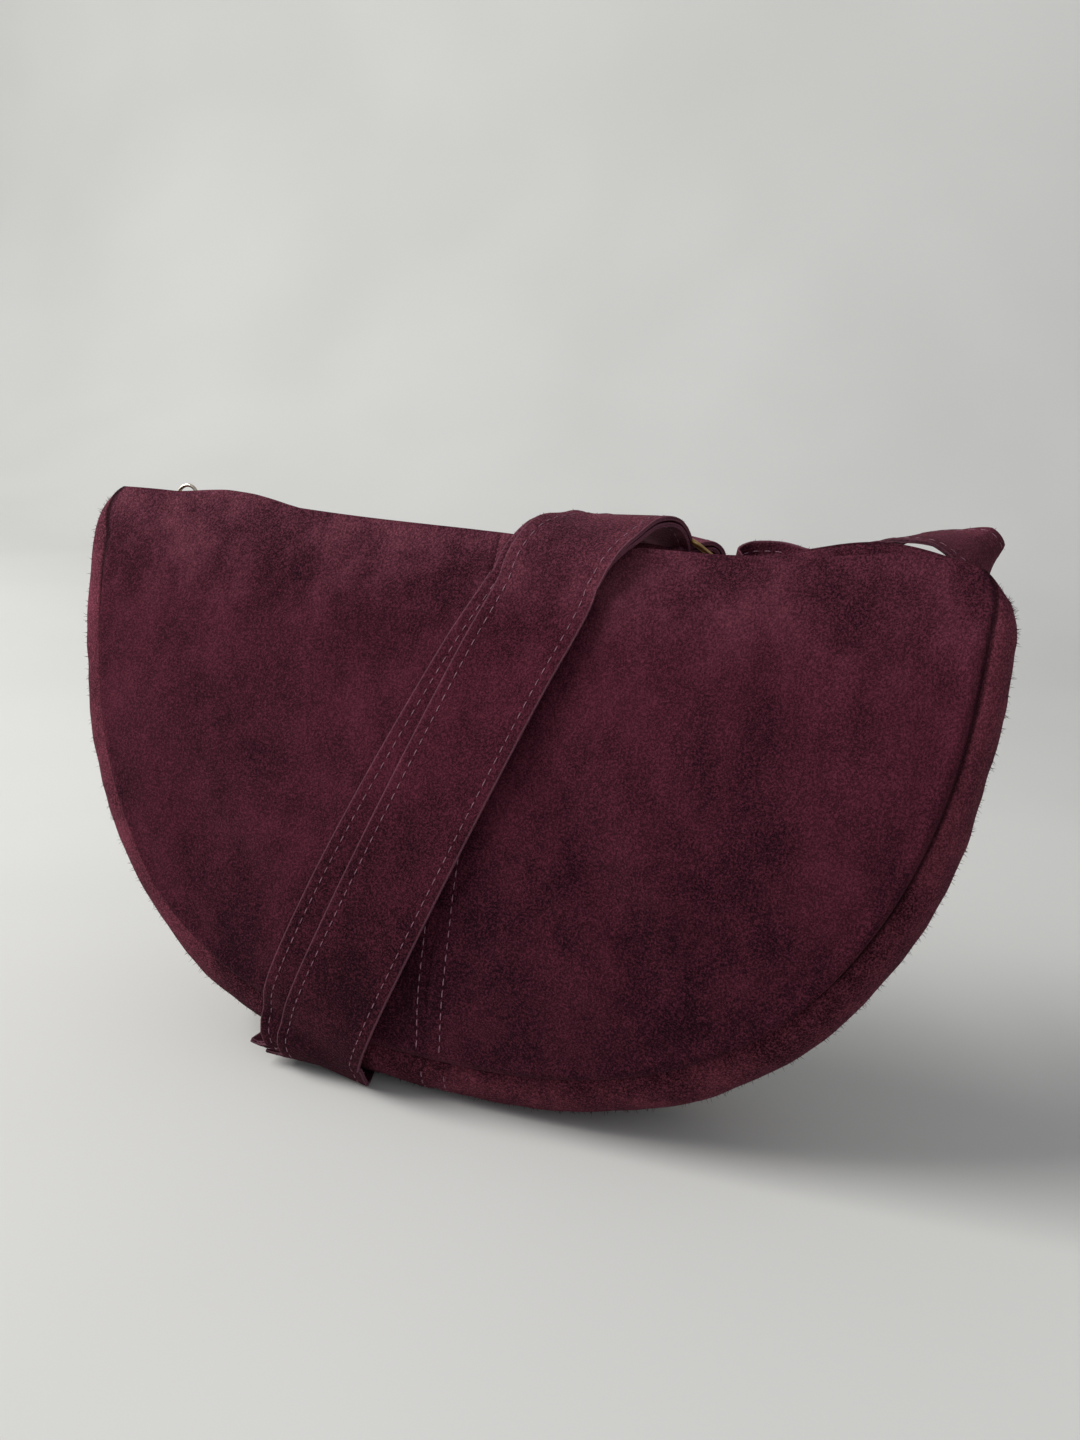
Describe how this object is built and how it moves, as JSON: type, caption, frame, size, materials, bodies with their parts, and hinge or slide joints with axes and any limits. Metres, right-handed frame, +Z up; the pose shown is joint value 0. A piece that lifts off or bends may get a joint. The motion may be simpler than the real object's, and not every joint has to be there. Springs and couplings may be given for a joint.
{
  "type": "half moon bag",
  "caption": "Half moon shoulder bag in burgundy suede, standing on its base, with a top zip and a wide flat strap wrapped over it.",
  "frame": {"origin": "on the floor, in the flat patch of the base that the bag rests on, in the middle of its length and depth", "axes": "+X along the bag towards its right end as seen from the front, -Y towards the front, +Z up; the bag leans back by 8 degrees about X"},
  "size_m": [0.32, 0.1221, 0.2018],
  "materials": {
    "panel_suede": "matte napped suede",
    "gusset_suede": "matte napped suede, darker",
    "strap_suede": "matte napped suede",
    "felt": "pressed felt",
    "lining_cotton": "woven cotton",
    "zip_tape": "woven tape",
    "zip_brass": "pale plated",
    "ring_brass": "brushed"
  },
  "bodies": {
    "bag": {"front_panel_left": "panel_suede", "front_panel_right": "panel_suede", "back_panel_left": "panel_suede", "back_panel_right": "panel_suede", "gusset_left": "gusset_suede", "gusset_right": "gusset_suede", "front_felt": "felt", "back_felt": "felt", "front_lining": "lining_cotton", "back_lining": "lining_cotton", "gusset_lining": "lining_cotton", "zip_border_front": "panel_suede", "zip_border_back": "panel_suede", "zip_tape_front": "zip_tape", "zip_tape_back": "zip_tape", "zip_teeth_front": "zip_brass", "zip_teeth_back": "zip_brass", "zip_stops_left": "zip_brass", "zip_stop_right": "zip_brass", "ring_tab_left": "gusset_suede", "ring_tab_right": "gusset_suede", "strap_face": "strap_suede", "strap_backing": "strap_suede"},
    "slider": {"zip_slider": "zip_brass"},
    "pull_link": {"zip_pull_link": "zip_brass"},
    "pull_ring": {"zip_pull_ring": "zip_brass"},
    "left_ring": {"strap_ring_left": "ring_brass"},
    "right_ring": {"strap_ring_right": "ring_brass"},
    "adjuster": {"strap_adjuster": "ring_brass"}
  },
  "joints": [
    {"name": "zip_slide", "type": "slide", "parent": "bag", "child": "slider", "axis": [1, 0, 0], "range_m": [0, 0.242]},
    {"name": "pull_link_hinge", "type": "hinge", "parent": "slider", "child": "pull_link", "pos_m": [-0.1223, 0.02088, 0.18359], "axis": [0, 0.9903, -0.1392], "range_deg": [-22, 75]},
    {"name": "pull_ring_hinge", "type": "hinge", "parent": "pull_link", "child": "pull_ring", "pos_m": [-0.12654, 0.02125, 0.18622], "axis": [0, 0.9903, -0.1392], "range_deg": [-35, 10]},
    {"name": "left_ring_hinge", "type": "hinge", "parent": "bag", "child": "left_ring", "pos_m": [-0.13, 0.04099, 0.15359], "axis": [0.9093, 0.025, 0.4154], "range_deg": [-2, 2]},
    {"name": "right_ring_hinge", "type": "hinge", "parent": "bag", "child": "right_ring", "pos_m": [0.13, 0.04099, 0.15359], "axis": [0.9093, -0.025, -0.4154], "range_deg": [-2, 2]},
    {"name": "adjuster_hinge", "type": "hinge", "parent": "bag", "child": "adjuster", "pos_m": [0.05, 0.05801, 0.1839], "axis": [0.6578, -0.7528, 0.0241], "range_deg": [-1, 1]}
  ]
}
